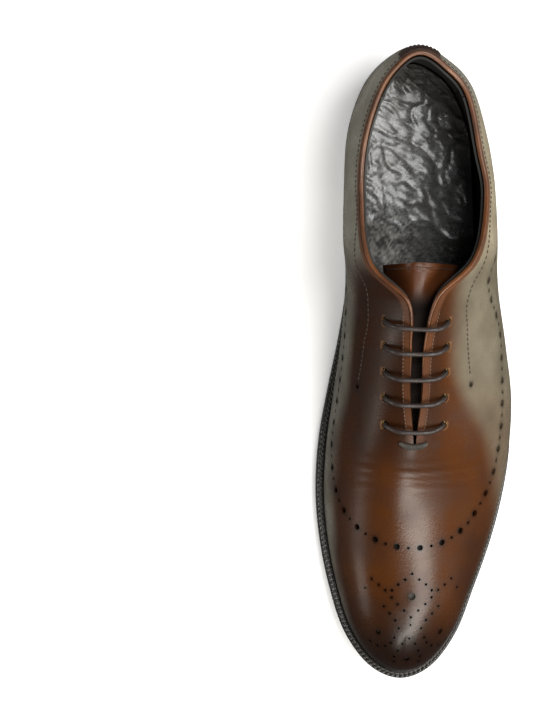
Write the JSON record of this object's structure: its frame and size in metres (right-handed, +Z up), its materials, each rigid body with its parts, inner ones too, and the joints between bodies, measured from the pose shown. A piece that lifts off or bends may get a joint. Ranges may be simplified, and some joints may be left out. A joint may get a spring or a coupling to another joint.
{
  "type": "leather oxford shoe",
  "caption": "Left men's one-piece leather oxford shoe with punched decoration, open-laced facings closed by straight lace bars, a leather welted sole and a stacked heel.",
  "frame": {"origin": "middle of the shoe's outline in plan, on the ground", "axes": "+Z up, +Y towards the heel, -Y towards the toe, +X towards the outer side of the foot"},
  "size_m": [0.096, 0.305, 0.101],
  "materials": {
    "upper_leather": "burnished tan-brown calf with a darkened toe and waxed patina",
    "tongue_leather": "brown calf, satin",
    "binding_leather": "raw orange-brown folded edge",
    "lining_leather": "dark grey-black lining leather, matt",
    "sock_leather": "shiny dark grey creased sock leather",
    "sole_leather": "black edge-dressed sole leather, waxed",
    "welt_leather": "black welt leather with grey stitching",
    "rubber_heel": "matt black rubber",
    "cork": "granular cork filler",
    "shank_steel": "spring steel strip",
    "veg_leather": "natural vegetable-tanned board",
    "stiffener": "impregnated stiffener canvas",
    "thread": "waxed grey thread",
    "waxed_cotton": "round waxed cotton cord, dark grey-brown",
    "aglet_plastic": "dark brown-grey acetate tip",
    "eyelet_brass": "plain blind eyelet"
  },
  "bodies": {
    "shoe": {"heel_top_piece": "rubber_heel", "outsole": "sole_leather", "welt": "welt_leather", "heel_rand": "welt_leather", "cork_filler": "cork", "shank": "shank_steel", "insole_board": "veg_leather", "sock_lining": "sock_leather", "wholecut_upper": "upper_leather", "toe_puff": "stiffener", "heel_counter": "stiffener", "vamp_lining": "lining_leather", "heel_grip": "lining_leather", "back_tab": "upper_leather", "topline_binding": "binding_leather", "throat_bar_tack": "thread", "lace": "waxed_cotton", "heel_lift_1": "sole_leather", "heel_lift_2": "sole_leather", "heel_lift_3": "sole_leather", "facing_stay_medial": "stiffener", "quarter_lining_medial": "lining_leather", "aglet_medial": "aglet_plastic", "eyelet_medial_1": "eyelet_brass", "eyelet_medial_2": "eyelet_brass", "eyelet_medial_3": "eyelet_brass", "eyelet_medial_4": "eyelet_brass", "eyelet_medial_5": "eyelet_brass", "facing_stay_lateral": "stiffener", "quarter_lining_lateral": "lining_leather", "aglet_lateral": "aglet_plastic", "eyelet_lateral_1": "eyelet_brass", "eyelet_lateral_2": "eyelet_brass", "eyelet_lateral_3": "eyelet_brass", "eyelet_lateral_4": "eyelet_brass", "eyelet_lateral_5": "eyelet_brass"},
    "tongue": {"tongue": "tongue_leather", "tongue_lining": "lining_leather"}
  },
  "joints": [
    {"name": "tongue_flap", "type": "hinge", "parent": "shoe", "child": "tongue", "pos_m": [-0.0027, -0.0385, 0.0629], "axis": [1, 0, 0], "range_deg": [-16, 0], "stiffness_Nm_per_rad": 0.12, "springref_deg": 6.88}
  ]
}
